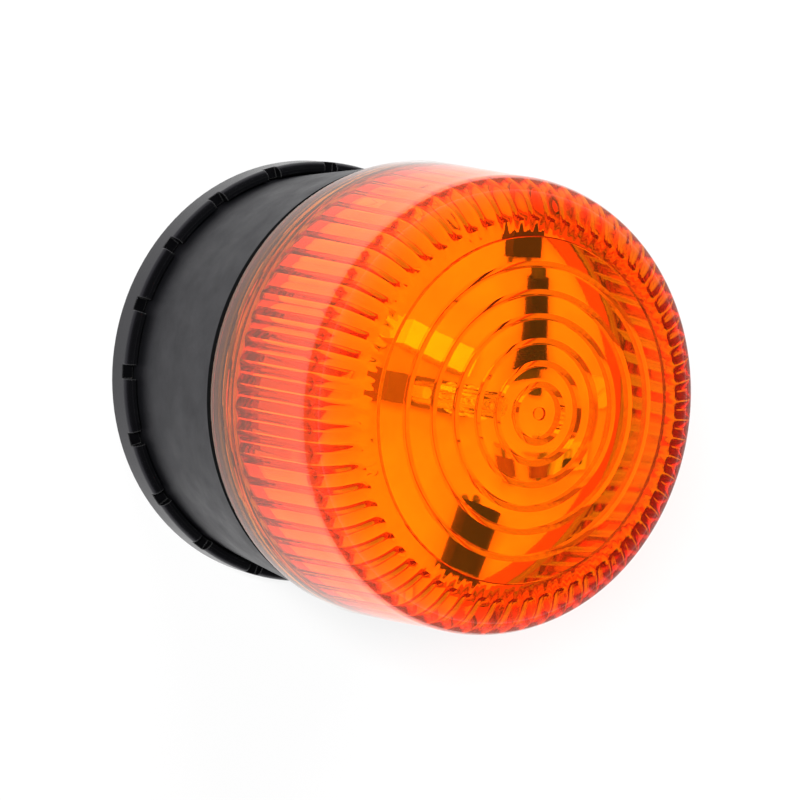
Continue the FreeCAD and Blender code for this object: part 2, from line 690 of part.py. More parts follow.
def trigger_wire_shape():
    """Thin wire coiled up one leg of the tube."""
    wire = size("wire_radius")
    orbit = size("tube_radius") + wire + 0.05
    pitch = size("wire_coil_pitch")
    helix = Part.makeHelix(pitch, pitch * size("wire_coil_turns"), orbit)
    start = FreeCAD.Vector(orbit, 0, 0)
    section = Part.Wire(Part.makeCircle(wire, start, FreeCAD.Vector(0, 1, 0)))
    coil = Part.Wire(helix).makePipeShell([section], True, True)
    foot = size("spigot_top") + size("carrier_height") + wire
    x, y = tube_spot(1)
    coil.translate(FreeCAD.Vector(number(x), number(y), foot))
    return coil


# ------------------------------------------------------- parts on the board

BOARD_BOTTOM = "spigot_top - board_thickness"


def along_can(distance):
    """Formulas for x and y of a point on the axis of the lying capacitor."""
    return "can_x + (%s)*cos(can_angle)" % distance, "can_y + (%s)*sin(can_angle)" % distance


def build_electrolytic():
    """Aluminium can lying on the board, in a shrunk sleeve that leaves one end open."""
    middle = "spigot_top + can_radius + sleeve_wall"
    x, y = along_can("0")
    blank = lying_cylinder("can_blank", "can_radius", "can_length", x, y, middle, "can_angle")
    x, y = along_can("-can_length/2 + can_groove_place")
    ring = lying_cylinder("can_ring", "can_radius + 1", "2*can_groove_depth", x, y, middle, "can_angle")
    core = lying_cylinder("can_waist", "can_radius - can_groove_depth", "can_length",
                          x, y, middle, "can_angle")
    node("capacitor_can", cut("capacitor_can", blank, [cut("can_groove", ring, [core])]))
    x, y = along_can("0")
    outside = lying_cylinder("sleeve_outside", "can_radius + sleeve_wall", "can_length + 2*sleeve_wall", x, y,
                             middle, "can_angle")
    inside = lying_cylinder("sleeve_inside", "can_radius", "can_length", x, y, middle, "can_angle")
    x, y = along_can("can_length/2")
    window = lying_cylinder("sleeve_window", "can_cap_radius", "can_length", x, y, middle, "can_angle")
    node("capacitor_sleeve", cut("capacitor_sleeve", outside, [inside, window]))


def build_film_capacitor():
    node("film_capacitor", box("film_capacitor", "film_length", "film_width", "film_height",
                               "film_x", "film_y", "spigot_top", "film_angle"))


def build_bridge():
    """Flat moulded rectifier on the board with two legs on each long side."""
    node("bridge_rectifier", box("bridge_rectifier", "bridge_length", "bridge_width", "bridge_height",
                                 "bridge_x", "bridge_y", "spigot_top"))
    reach = "(bridge_width + bridge_leg_reach)/2"
    legs = [box("bridge_leg_%d_%d" % (row, column), "leg_width", "bridge_leg_reach", "bridge_leg_thickness",
                "bridge_x + %d*bridge_leg_pitch/2" % column, "bridge_y + %d*%s" % (row, reach), "spigot_top")
            for row in (-1, 1) for column in (-1, 1)]
    node("bridge_legs", grouped("bridge_legs", legs))


def build_choke():
    """Ferrite rod with a lacquered winding, lying on the board."""
    spot = ("choke_x", "choke_y", "spigot_top + choke_coil_radius", "choke_angle")
    node("choke_core", lying_cylinder("choke_core", "choke_core_radius", "choke_core_length", *spot))
    coil = lying_cylinder("coil_outside", "choke_coil_radius", "choke_coil_length", *spot)
    bore = lying_cylinder("coil_bore", "choke_core_radius", "choke_core_length + 2", *spot)
    node("choke_winding", cut("choke_winding", coil, [bore]))


def build_trigger_transformer():
    node("trigger_transformer", box("trigger_transformer", "trigger_length", "trigger_width",
                                    "trigger_height", "trigger_x", "trigger_y",
                                    BOARD_BOTTOM + " - trigger_height"))


def build_transistor():
    """Moulded transistor hanging on three legs with its metal tab behind it."""
    legs = [box("leg_%d" % place, "leg_width", "leg_width/2", "transistor_lift",
                "transistor_x + %d*chip_pin_pitch" % place, "transistor_y",
                BOARD_BOTTOM + " - transistor_lift")
            for place in (-1, 0, 1)]
    case = box("transistor_case", "transistor_width", "transistor_depth - tab_thickness",
               "transistor_height", "transistor_x", "transistor_y + tab_thickness/2",
               BOARD_BOTTOM + " - transistor_lift - transistor_height")
    tab_y = "transistor_y - transistor_depth/2 + tab_thickness/2"
    tab_foot = BOARD_BOTTOM + " - transistor_lift - tab_height"
    tab = box("tab_plate", "transistor_width", "tab_thickness", "tab_height", "transistor_x", tab_y, tab_foot)
    eye = DOC.addObject("Part::Cylinder", "tab_eye")
    eye.Placement.Rotation = FreeCAD.Rotation(FreeCAD.Vector(1, 0, 0), -90)
    bind(eye, Radius="tab_eye_radius", Height="tab_thickness + 2", Placement__Base__x="transistor_x")
    bind(eye, Placement__Base__y=tab_y + " - tab_thickness/2 - 1")
    bind(eye, Placement__Base__z=tab_foot + " + tab_eye_margin")
    node("transistor", fused("transistor", [case] + legs))
    node("transistor_tab", cut("transistor_tab", tab, [eye]))


def build_chip():
    """Eight pin timing chip and its pins, under the board."""
    node("control_chip", box("control_chip", "chip_length", "chip_width", "chip_height - chip_lift",
                             "chip_x", "chip_y", BOARD_BOTTOM + " - chip_height"))
    pins = []
    count = int(size("chip_pins_side"))
    for side in (-1, 1):
        for place in range(count):
            pins.append(box("chip_pin_%d_%d" % (side, place), "chip_pin_width", "chip_pin_thickness",
                            "chip_height/2",
                            "chip_x + (%d - (chip_pins_side - 1)/2)*chip_pin_pitch" % place,
                            "chip_y + %d*(chip_width + chip_pin_thickness)/2" % side,
                            BOARD_BOTTOM + " - chip_height/2"))
    node("chip_pins", grouped("chip_pins", pins))


def axial_parts(name, face, side_of_board):
    """A row of round parts lying along Y beside one face of the board, and their bent leads.

    side_of_board is 1 on the lens side and -1 on the rear side.
    """
    kind = name[:-1]
    radius, length = kind + "_radius", kind + "_length"
    lift = "(%s + axial_lift)" % radius
    middle = "%s + %d*%s" % (face, side_of_board, lift)
    post_foot = face if side_of_board > 0 else "%s - %s - lead_wire_radius" % (face, lift)
    bodies = []
    leads = []
    for place in range(int(size(kind + "_count"))):
        x = "%s_x + %d*%s_pitch" % (kind, place, kind)
        y = kind + "_y"
        bodies.append(lying_cylinder("%s_%d" % (name, place), radius, length, x, y, middle, "90"))
        for end in (-1, 1):
            tag = "%s_lead_%d_%d" % (name, place, end)
            flat = lying_cylinder(tag, "lead_wire_radius", "lead_reach", x,
                                  "%s + %d*(%s + lead_reach)/2" % (y, end, length), middle, "90")
            post = cylinder(tag + "_post", "lead_wire_radius", lift + " + lead_wire_radius", x,
                            "%s + %d*(%s/2 + lead_reach - lead_wire_radius)" % (y, end, length), post_foot)
            leads.append(fused(tag + "_bent", [flat, post]))
    node(name, grouped(name, bodies))
    return leads


def build_small_parts():
    """Resistors and diodes with their shared kind of lead."""
    leads = axial_parts("resistors", BOARD_BOTTOM, -1)
    leads += axial_parts("diodes", "spigot_top", 1)
    node("component_leads", grouped("component_leads", leads))


def slider_x(place):
    """Formula for the x of one slider of the option switch."""
    return "switch_x + (%d - (slider_count - 1)/2)*slider_pitch" % place


def build_option_switch():
    """Switch case with a slot for each slider, and the sliders."""
    top = "spigot_top + switch_height"
    case = box("switch_case", "switch_length", "switch_width", "switch_height", "switch_x", "switch_y",
               "spigot_top")
    slots = []
    for place in range(int(size("slider_count"))):
        slots.append(box("switch_slot_%d" % place, "slider_width + 2*slider_gap",
                         "slider_length + slider_travel + 2*slider_gap", "slider_depth + 1",
                         slider_x(place), "switch_y", top + " - slider_depth"))
    node("option_switch", cut("option_switch", case, slots))
    for place in range(int(size("slider_count"))):
        name = "switch_slider_%d" % (place + 1)
        node(name, box(name, "slider_width", "slider_length", "slider_depth + slider_stand - slider_gap",
                       slider_x(place), "switch_y - slider_travel/2", top + " - slider_depth + slider_gap"))


# ---------------------------------------------------------------------- lens

def build_lens_seal():
    """Ring between the housing and the lens, with a rounded outside."""
    node("lens_seal", turned_body("lens_seal", [
        ("seal_inner", "seal_bottom"),
        ("seal_outer - seal_round", "seal_bottom", "seal_round"),
        ("seal_outer", "seal_bottom + seal_round"),
        ("seal_outer", "lens_rear - 0.1"),
        ("seal_inner", "lens_rear - 0.1"),
    ]))


def turned_face(edges):
    """Solid made by turning a closed set of edges about the lamp axis."""
    face = Part.Face(Part.Wire(Part.sortEdges(edges)[0]))
    return face.revolve(ORIGIN, AXIS, 360)


def profile_point(radius, height):
    return FreeCAD.Vector(radius, 0, height)


def dome_radius():
    """Radius of the sphere through the edge and the top of the lens face."""
    rise = size("lens_top") - size("face_edge")
    return (size("face_radius") ** 2 + rise ** 2) / (2 * rise)


def dome_height(radius):
    """Height of the outside of the lens face at a radius."""
    sphere = dome_radius()
    return size("lens_top") - sphere + math.sqrt(sphere ** 2 - radius ** 2)


def shoulder_centre():
    """Centre of the shoulder's arc, inside the line from wall top to face edge."""
    start = profile_point(size("wall_radius"), size("wall_top"))
    end = profile_point(size("face_radius"), size("face_edge"))
    chord = end - start
    inward = FreeCAD.Vector(-chord.z, 0, chord.x).normalize()
    reach = math.sqrt(size("shoulder_round") ** 2 - (chord.Length / 2) ** 2)
    return (start + end) * 0.5 + inward * reach


def lens_outside():
    """Filled outside form: band, tapered wall, round shoulder and domed face."""
    centre = shoulder_centre()
    wall = profile_point(size("wall_radius"), size("wall_top"))
    edge = profile_point(size("face_radius"), size("face_edge"))
    outward = ((wall + edge) * 0.5 - centre).normalize()
    bend = centre + outward * size("shoulder_round")
    half = size("face_radius") / 2
    top = profile_point(0, size("lens_top"))
    rear = profile_point(size("lens_radius"), size("lens_rear"))
    round_size = size("rear_edge_round")
    rear_in = rear - FreeCAD.Vector(round_size, 0, 0)
    rear_up = rear + FreeCAD.Vector(0, 0, round_size)
    slant = round_size * (1 - math.sqrt(0.5))
    rear_mid = rear + FreeCAD.Vector(-slant, 0, slant)
    foot = profile_point(0, size("lens_rear"))
    band = profile_point(size("band_radius"), size("band_top"))
    edges = [
        Part.LineSegment(foot, rear_in),
        Part.Arc(rear_in, rear_mid, rear_up),
        Part.LineSegment(rear_up, band),
        Part.LineSegment(band, wall),
        Part.Arc(wall, bend, edge),
        Part.Arc(edge, profile_point(half, dome_height(half)), top),
        Part.LineSegment(top, foot),
    ]
    return turned_face([edge.toShape() for edge in edges])


def flute_stations():
    """(height, ridge radius, groove radius) of the fluted cavity, from the band to the face.

    The grooves follow the wall and then the shoulder's arc at a constant wall.  The ridges
    stand one flute depth further in on the wall, and run out to nothing at the shoulder's end.
    """
    depth = size("flute_depth")
    centre = shoulder_centre()
    arc = size("shoulder_round") - size("shoulder_wall")
    last = math.degrees(math.asin((size("flute_top") - centre.z) / arc))
    foot = size("flute_foot_radius")
    stations = [(size("flute_bottom"), foot - depth, foot)]
    for share in (0.0, 0.3, 0.6, 0.85, 1.0):
        turn = math.radians(last * share)
        groove = centre.x + arc * math.cos(turn)
        ridge = groove - max(depth * (1 - share ** 3), 0.02)
        stations.append((centre.z + arc * math.sin(turn), ridge, groove))
    return stations


def star_wire(height, ridge, groove):
    """Closed zigzag of ridges and grooves around the lamp axis."""
    count = int(size("flute_count"))
    points = []
    for place in range(2 * count):
        turn = math.pi * place / count
        radius = ridge if place % 2 else groove
        points.append(FreeCAD.Vector(radius * math.cos(turn), radius * math.sin(turn), height))
    return Part.makePolygon(points + points[:1])


def fluted_cavity():
    """Inside of the lens wall and shoulder."""
    wires = [star_wire(*station) for station in flute_stations()]
    return Part.makeLoft(wires, True, True)


def face_cavity():
    """Inside of the lens face: a ring tooth at the inner edge of each zone, and a centre pip."""
    rings = [size("ring_%d" % place) for place in range(1, 8)]
    wall = size("face_wall")
    pip = size("pip_radius")
    tip = size("pip_height")
    centre_height = dome_height(0) - wall
    floor = size("flute_top") - 1
    points = [profile_point(0, floor), profile_point(0, centre_height - tip)]
    points.append(profile_point(pip, centre_height - tip))
    points.append(profile_point(pip, centre_height))
    for inner, outer in zip(rings[:-1], rings[1:]):
        land = inner + size("tooth_base")
        points.append(profile_point(inner, dome_height(inner) - wall))
        points.append(profile_point(inner, dome_height(inner) - wall - size("tooth_height")))
        points.append(profile_point(land, dome_height(land) - wall - size("land_rise")))
    points.append(profile_point(rings[-1], dome_height(rings[-1]) - wall))
    points.append(profile_point(rings[-1], floor))
    closed = points + points[:1]
    return turned_face([Part.LineSegment(start, end).toShape() for start, end in zip(closed, closed[1:])])


def build_lens():
    """Lens with its threaded bore, fluted wall and ringed face."""
    bore = Part.makeCylinder(size("female_root"), size("band_top") - size("lens_rear") + 0.5,
                             FreeCAD.Vector(0, 0, size("lens_rear") - 0.5))
    neck = Part.makeCylinder(size("flute_foot_radius") - size("flute_depth"), 1.5,
                             FreeCAD.Vector(0, 0, size("band_top") - 0.5))
    solid = lens_outside().cut(bore).cut(neck).cut(fluted_cavity()).cut(face_cavity())
    foot = size("female_root") + size("thread_embed")
    start = size("thread_start") + size("thread_pitch") / 2
    ridge = thread_ridge(foot, size("female_crest"), start, size("thread_turns"))
    node("lens", feature("lens", solid.fuse(ridge)))


# --------------------------------------------------------------------- write

def check_document():
    """Stop if any object failed or any sub-part is empty or broken."""
    for thing in DOC.Objects:
        if "Invalid" in thing.State or "Error" in thing.State:
            raise RuntimeError("%s failed: %s" % (thing.Name, thing.State))
    for name, thing in NODES:
        if thing.Shape.isNull() or not thing.Shape.isValid():
            raise RuntimeError(name + " has a broken shape")


def write_parts():
    os.makedirs("parts", exist_ok=True)
    for name, thing in NODES:
        thing.Shape.exportStep(os.path.join("parts", name + ".step"))
        print("%-20s solids %2d  volume %10.1f" % (name, len(thing.Shape.Solids), thing.Shape.Volume))


def build():
    fill_sheet()
    build_base()
    build_base_seals()
    build_terminal_block()
    for place in range(int(size("terminal_count"))):
        build_terminal_screw(place)
        build_clamp_cage(place)
    build_contact_springs()
    build_housing()
    build_contacts()
    build_board()
    build_edge_ring()
    build_tube_carrier()
    build_flash_tube()
    build_electrolytic()
    build_film_capacitor()
    build_bridge()
    build_choke()
    build_trigger_transformer()
    build_transistor()
    build_chip()
    build_small_parts()
    build_option_switch()
    build_lens_seal()
    build_lens()
    DOC.recompute()
    check_document()
    write_parts()


build()
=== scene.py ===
import math

import bpy
from mathutils import Matrix, Vector


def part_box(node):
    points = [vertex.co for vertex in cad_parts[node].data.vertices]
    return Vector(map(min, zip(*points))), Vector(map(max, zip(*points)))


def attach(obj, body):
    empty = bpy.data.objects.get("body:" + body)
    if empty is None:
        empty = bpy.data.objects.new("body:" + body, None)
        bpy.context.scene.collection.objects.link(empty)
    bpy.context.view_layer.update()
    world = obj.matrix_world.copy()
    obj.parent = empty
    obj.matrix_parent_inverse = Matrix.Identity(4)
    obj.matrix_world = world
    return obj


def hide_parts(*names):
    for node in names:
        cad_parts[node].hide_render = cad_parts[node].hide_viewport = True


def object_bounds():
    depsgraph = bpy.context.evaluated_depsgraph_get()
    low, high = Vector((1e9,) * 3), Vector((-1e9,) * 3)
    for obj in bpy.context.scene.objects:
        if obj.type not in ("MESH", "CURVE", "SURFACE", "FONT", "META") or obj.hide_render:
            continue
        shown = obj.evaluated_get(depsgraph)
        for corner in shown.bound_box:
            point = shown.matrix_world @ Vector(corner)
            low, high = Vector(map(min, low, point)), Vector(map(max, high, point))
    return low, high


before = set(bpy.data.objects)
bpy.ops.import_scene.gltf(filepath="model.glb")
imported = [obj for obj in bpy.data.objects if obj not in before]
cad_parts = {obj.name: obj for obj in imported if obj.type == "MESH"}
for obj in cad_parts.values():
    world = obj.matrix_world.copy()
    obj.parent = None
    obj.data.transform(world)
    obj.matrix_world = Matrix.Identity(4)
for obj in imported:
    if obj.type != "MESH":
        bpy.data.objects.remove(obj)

CAD_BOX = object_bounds()
MM = 0.001
TURN = 2 * math.pi

# ------------------------------------------------------------ places from the CAD frame
LENS_LOW, LENS_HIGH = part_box("lens")
LENS_RADIUS = LENS_HIGH.x
LENS_REAR = LENS_LOW.z
LENS_TOP = LENS_HIGH.z
BOARD_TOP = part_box("main_board")[1].z

# Outside of the lens: radii from the lamp's axis and heights in the CAD frame.
BAND_TOP = LENS_REAR + 7.0 * MM
BAND_RADIUS = LENS_RADIUS - 0.5 * MM
WALL_TOP = LENS_REAR + 29.8 * MM
WALL_RADIUS = LENS_RADIUS - 2.6 * MM
FACE_EDGE = LENS_TOP - 4.0 * MM
FACE_RADIUS = LENS_RADIUS - 11.8 * MM
SHOULDER_ROUND = 9.9 * MM
REAR_ROUND = 0.5 * MM
BORE_CHAMFER = 0.3 * MM

# Thread in the lens's bore; its ends fade out over a small share of a turn.
THREAD_ROOT = LENS_RADIUS - 2.5 * MM
THREAD_CREST = LENS_RADIUS - 3.65 * MM
THREAD_PITCH = 2.0 * MM
THREAD_START = LENS_REAR + 1.9 * MM
THREAD_TURNS = 2.4
THREAD_FOOT = 1.0 * MM
THREAD_TIP = 0.5 * MM
THREAD_FADE = 0.06
THREAD_ROWS = 52

# Flutes inside the wall and shoulder; each has flat flanks and a small round at ridge and groove.
# The higher the run-out power, the closer to the ring zones a flute keeps its depth.
FLUTE_COUNT = 64
FLUTE_DEPTH = 1.4 * MM
FLUTE_RUN_OUT = 11
FLUTE_BOTTOM = BAND_TOP + 0.9 * MM
FLUTE_FOOT_RADIUS = THREAD_ROOT
SHOULDER_WALL = 2.4 * MM
FLUTE_TOP = LENS_REAR + 37.5 * MM
FLUTE_PHASES = (0.0, 0.05, 0.27, 0.46, 0.5, 0.54, 0.73, 0.95)
RIDGE_ROUND_END = 0.1
RIDGE_SHARE = 0.06
GROOVE_ROUND_START = 0.92
GROOVE_SHARE = 0.95

# Ring zones on the inside of the face.
FACE_WALL = 1.7 * MM
TOOTH_HEIGHT = 1.9 * MM
TOOTH_BASE = 1.15 * MM
LAND_RISE = 0.35 * MM
LAND_GAP = 0.05 * MM
TOOTH_KNEE_RUN = 0.5
TOOTH_KNEE_RISE = 0.46
TOOTH_TIP_RUN = 0.08 * MM
TOOTH_TIP_RISE = 0.05 * MM
TOOTH_EDGE_RISE = 0.03 * MM
STEP_AT_FLUTES = 0.1 * MM
RING_RADII = [radius * MM for radius in (4.8, 8.7, 12.8, 17.3, 21.7, 26.85, 32.4)]
PIP_RADIUS = 1.1 * MM
PIP_HEIGHT = 0.8 * MM
PIP_FOOT = 1.15
PIP_CROWN = 1.1

# Amber plastic: share of each colour that passes one surface, and the colour of its thickness.
LENS_IOR = 1.57
AMBER_SKIN = (0.98, 0.785, 0.35, 1)
AMBER_DEPTH = (0.9945, 0.925, 0.25, 1)
AMBER_DENSITY = 2000.0
HAZE_COLOUR = (0.85, 0.36, 0.08, 1)
# Share of light the plastic scatters, by height on the lens.
HAZE = [(LENS_REAR, 0.013), (BAND_TOP, 0.016), (BAND_TOP + 8 * MM, 0.024), (WALL_TOP - 3 * MM, 0.04),
        (FACE_EDGE - 4 * MM, 0.026), (FACE_EDGE, 0.004)]

# Choke winding and solder joints.
CHOKE_ANGLE = math.radians(92.0)
WIRE_RADIUS = 0.26 * MM
WIRE_STEPS = 18
WIRE_SIDES = 8
WIRE_WANDER = 0.015
WIRE_WANDER_RATE = 0.37
WIRE_OVERLAP = 1.05
PIN_PITCH = 2.54 * MM
JOINT_RADIUS = 0.95 * MM
JOINT_SIDES = 14
# A solder cone's (radius, height) from foot to tip, in joint radii.
JOINT_PROFILE = [(1.0, 0.0), (0.86, 0.08), (0.55, 0.2), (0.36, 0.45), (0.28, 0.6)]
BLOCK_ROUND = 0.35 * MM

# Black plastic and the other simple finishes.
BLACK_TINT = (0.86, 0.83, 1.0, 1)
# Edge tone of the black plastics: faint wear plus a painted highlight along every rounded edge.
WEAR_AND_HIGHLIGHT_TONE = 0.035
EDGE_REACH = 0.4 * MM
TONE_SPREAD = 0.18
TUBE_IOR = 1.47

# Studio: a sheet of bright paper under the light, and a surround that is white at the horizon.
FLOOR_HALF = 3.0
FLOOR_DROP = 0.05 * MM
FLOOR_TONES = (0.1, 0.104)
PAPER_RADIUS = 135.0 * MM
PAPER_GLOW = 0.74
# (height, brightness) stops of the surround, as plain reflections and light inside the lens meet it.
SKY_OUTSIDE = [(0.0, 1.0), (0.04, 0.4), (0.2, 0.16), (0.6, 0.02)]
SKY_WITHIN = [(0.0, 0.95), (0.8, 0.6)]
SKY_STRENGTH = 0.95
LIGHT_AIM = (0, 0, 0.06)
# Name, place, size and power of each soft lamp.
LAMPS = [("key_left", (-0.82, 0.26, 1.06), (0.4, 0.4), 46.0),
         ("top_soft", (0.1, 1.0, 0.6), (1.0, 0.6), 26.0),
         ("fill_low", (-0.3, -1.0, 0.5), (1.0, 0.5), 18.0)]

# Camera axes, and its place in lens radii from the middle of the lens's rear edge.
CAMERA_RIGHT = Vector((0.8483, 0.0536, 0.5268))
CAMERA_BACK = Vector((-0.5295, 0.0859, 0.8439))
CAMERA_PLACE = Vector((-4.683, 0.708, 7.338))
FOCAL_LENGTH = 90.0
SENSOR_WIDTH = 36.0


# ------------------------------------------------------------------------- mesh helpers

def new_mesh(name, points, faces):
    """A mesh object from points in metres and faces as index lists."""
    mesh = bpy.data.meshes.new(name)
    mesh.from_pydata(points, [], faces)
    mesh.validate()
    mesh.update()
    thing = bpy.data.objects.new(name, mesh)
    bpy.context.scene.collection.objects.link(thing)
    return thing


def smooth(thing, degrees):
    """Smooth shading that keeps edges sharper than an angle."""
    mesh = thing.data
    mesh.polygons.foreach_set("use_smooth", [True] * len(mesh.polygons))
    mesh.set_sharp_from_angle(angle=math.radians(degrees))
    return thing


def turned(name, angles, profile_at):
    """A surface of revolution whose (radius, height) profile may change with the angle.

    The profile starts and ends on the axis.
    """
    first = profile_at(0)
    points = [(0, 0, first[0][1]), (0, 0, first[-1][1])]
    columns = []
    for place, angle in enumerate(angles):
        column = []
        for radius, height in profile_at(place)[1:-1]:
            column.append(len(points))
            points.append((radius * math.cos(angle), radius * math.sin(angle), height))
        columns.append([0] + column + [1])
    faces = []
    for place, column in enumerate(columns):
        after = columns[(place + 1) % len(columns)]
        for step in range(len(column) - 1):
            loop = [column[step], column[step + 1], after[step + 1], after[step]]
            corners = [corner for spot, corner in enumerate(loop) if corner not in loop[:spot]]
            faces.append(corners)
    return new_mesh(name, points, faces)


def blend_value(low, high, share):
    """The value a share of the way from low to high."""
    return low + (high - low) * share


def smooth_step(low, high, value):
    """0 below low, 1 above high and a soft curve between."""
    share = min(max((value - low) / (high - low), 0.0), 1.0)
    return share * share * (3 - 2 * share)


# --------------------------------------------------------------------------- lens piece

def dome_height(radius):
    """Height of the outside of the lens face at a radius."""
    rise = LENS_TOP - FACE_EDGE
    sphere = (FACE_RADIUS ** 2 + rise ** 2) / (2 * rise)
    return LENS_TOP - sphere + math.sqrt(sphere ** 2 - radius ** 2)


def shoulder_centre():
    """(radius, height) of the centre of the shoulder's arc."""
    run, rise = FACE_RADIUS - WALL_RADIUS, FACE_EDGE - WALL_TOP
    chord = math.hypot(run, rise)
    reach = math.sqrt(SHOULDER_ROUND ** 2 - (chord / 2) ** 2)
    middle_r, middle_z = (FACE_RADIUS + WALL_RADIUS) / 2, (FACE_EDGE + WALL_TOP) / 2
    return middle_r - reach * rise / chord, middle_z + reach * run / chord


def lens_outside_profile():
    """Points from the top of the face down to the rear edge."""
    points = [(0.0, LENS_TOP)]
    dome_steps = 14
    for step in range(1, dome_steps + 1):
        radius = FACE_RADIUS * step / dome_steps
        points.append((radius, dome_height(radius)))
    centre_r, centre_z = shoulder_centre()
    start = math.atan2(FACE_EDGE - centre_z, FACE_RADIUS - centre_r)
    end = math.atan2(WALL_TOP - centre_z, WALL_RADIUS - centre_r)
    arc_steps = 16
    for step in range(1, arc_steps + 1):
        turn = blend_value(start, end, step / arc_steps)
        radius = centre_r + SHOULDER_ROUND * math.cos(turn)
        points.append((radius, centre_z + SHOULDER_ROUND * math.sin(turn)))
    wall_steps = 6
    for step in range(1, wall_steps + 1):
        share = step / wall_steps
        points.append((blend_value(WALL_RADIUS, BAND_RADIUS, share), blend_value(WALL_TOP, BAND_TOP, share)))
    points.append((LENS_RADIUS, LENS_REAR + REAR_ROUND))
    round_steps = 4
    for step in range(1, round_steps + 1):
        turn = math.pi / 2 * step / round_steps
        radius = LENS_RADIUS - REAR_ROUND * (1 - math.cos(turn))
        points.append((radius, LENS_REAR + REAR_ROUND * (1 - math.sin(turn))))
    return points


def thread_height(turn, height):
    """How far the thread's ridge stands, from 0 to 1, at an angle and a height."""
    spot = (height - THREAD_START) / THREAD_PITCH - turn / TURN
    nearest = min(max(round(spot), 0), math.ceil(THREAD_TURNS) - 1)
    if nearest + turn / TURN > THREAD_TURNS:
        nearest -= 1
    along = nearest + turn / TURN
    offset = abs(spot - nearest) * THREAD_PITCH
    share = 1 - smooth_step(THREAD_TIP / 2, THREAD_FOOT / 2, offset)
    begin = smooth_step(0, THREAD_FADE, along)
    end = 1 - smooth_step(THREAD_TURNS - THREAD_FADE, THREAD_TURNS, along)
    return share * begin * end


def lens_inside_profile(turn, groove_share):
    """Points from the rear edge up the bore and the fluted wall to the centre pip.

    groove_share is 1 in a flute's groove and 0 on the ridge between two flutes.
    """
    points = [(THREAD_ROOT + BORE_CHAMFER, LENS_REAR), (THREAD_ROOT, LENS_REAR + BORE_CHAMFER)]
    for row in range(1, THREAD_ROWS):
        height = blend_value(LENS_REAR + BORE_CHAMFER, BAND_TOP, row / THREAD_ROWS)
        ridge = thread_height(turn, height)
        points.append((blend_value(THREAD_ROOT, THREAD_CREST, ridge), height))
    points.append((THREAD_ROOT, BAND_TOP))
    neck = FLUTE_FOOT_RADIUS - FLUTE_DEPTH
    points.append((neck, BAND_TOP))
    points.append((neck, FLUTE_BOTTOM))
    centre_r, centre_z = shoulder_centre()
    arc = SHOULDER_ROUND - SHOULDER_WALL
    last_turn = math.asin((FLUTE_TOP - centre_z) / arc)
    wall_steps = 5
    for step in range(wall_steps):
        share = step / wall_steps
        groove = blend_value(FLUTE_FOOT_RADIUS, centre_r + arc, share)
        height = blend_value(FLUTE_BOTTOM, centre_z, share)
        points.append((groove - FLUTE_DEPTH * (1 - groove_share), height))
    arc_steps = 18
    for step in range(arc_steps + 1):
        share = step / arc_steps
        reach = arc - FLUTE_DEPTH * (1 - share ** FLUTE_RUN_OUT) * (1 - groove_share)
        arc_turn = last_turn * share
        points.append((centre_r + reach * math.cos(arc_turn), centre_z + reach * math.sin(arc_turn)))
    last = RING_RADII[-1]
    points.append((last + STEP_AT_FLUTES, FLUTE_TOP))
    points.append((last, FLUTE_TOP + STEP_AT_FLUTES))
    for place in range(len(RING_RADII) - 1, 0, -1):
        points += zone_profile(RING_RADII[place - 1], RING_RADII[place])
    middle = LENS_TOP - FACE_WALL
    first = RING_RADII[0]
    points.append((first - LAND_GAP, dome_height(first) - FACE_WALL))
    points.append((PIP_RADIUS * PIP_FOOT, middle))
    points.append((PIP_RADIUS, middle - PIP_HEIGHT))
    points.append((0.0, middle - PIP_HEIGHT * PIP_CROWN))
    return points


def zone_profile(inner, outer):
    """Points of one ring zone from its outer edge in: a gently curved land, then the ring tooth."""
    points = []
    land = inner + TOOTH_BASE
    land_steps = 5
    for step in range(land_steps + 1):
        share = step / land_steps
        radius = blend_value(outer - LAND_GAP, land, share)
        points.append((radius, dome_height(radius) - FACE_WALL - LAND_RISE * share))
    low = dome_height(inner) - FACE_WALL - TOOTH_HEIGHT
    foot = points[-1][1]
    points.append((blend_value(inner, land, TOOTH_KNEE_RUN), blend_value(low, foot, TOOTH_KNEE_RISE)))
    points.append((inner + TOOTH_TIP_RUN, low + TOOTH_TIP_RISE))
    points.append((inner, low + TOOTH_EDGE_RISE))
    return points


def groove_share_at(phase):
    """How deep a flute is at a phase across it: 0 on the ridge and 1 in the groove, both rounded off."""
    share = 1 - abs(2 * phase - 1)
    if share <= RIDGE_ROUND_END:
        return RIDGE_SHARE
    if share >= GROOVE_ROUND_START:
        return GROOVE_SHARE
    return share


def build_lens():
    """Closed mesh of the lens."""
    angles = []
    shares = []
    for flute in range(FLUTE_COUNT):
        for phase in FLUTE_PHASES:
            angles.append(TURN * (flute + phase) / FLUTE_COUNT)
            shares.append(groove_share_at(phase))
    outside = lens_outside_profile()

    def profile_at(place):
        return outside + lens_inside_profile(angles[place], shares[place])

    lens = turned("lens_moulding", angles, profile_at)
    return smooth(lens, 32)


# ------------------------------------------------------------------- pieces on the board

def tube_along(name, path, radius, sides):
    """A closed round wire along a path of points, with a cap at each end."""
    points = []
    faces = []
    count = len(path)
    across = (path[1] - path[0]).orthogonal().normalized()
    for place, spot in enumerate(path):
        ahead = (path[min(place + 1, count - 1)] - path[max(place - 1, 0)]).normalized()
        across = (across - ahead * across.dot(ahead)).normalized()
        up = ahead.cross(across)
        for side in range(sides):
            turn = TURN * side / sides
            points.append(spot + (across * math.cos(turn) + up * math.sin(turn)) * radius)
    for place in range(count - 1):
        low = place * sides
        for side in range(sides):
            follow = (side + 1) % sides
            faces.append([low + side, low + follow, low + sides + follow, low + sides + side])
    faces.append(list(range(sides))[::-1])
    faces.append([(count - 1) * sides + side for side in range(sides)])
    return new_mesh(name, points, faces)


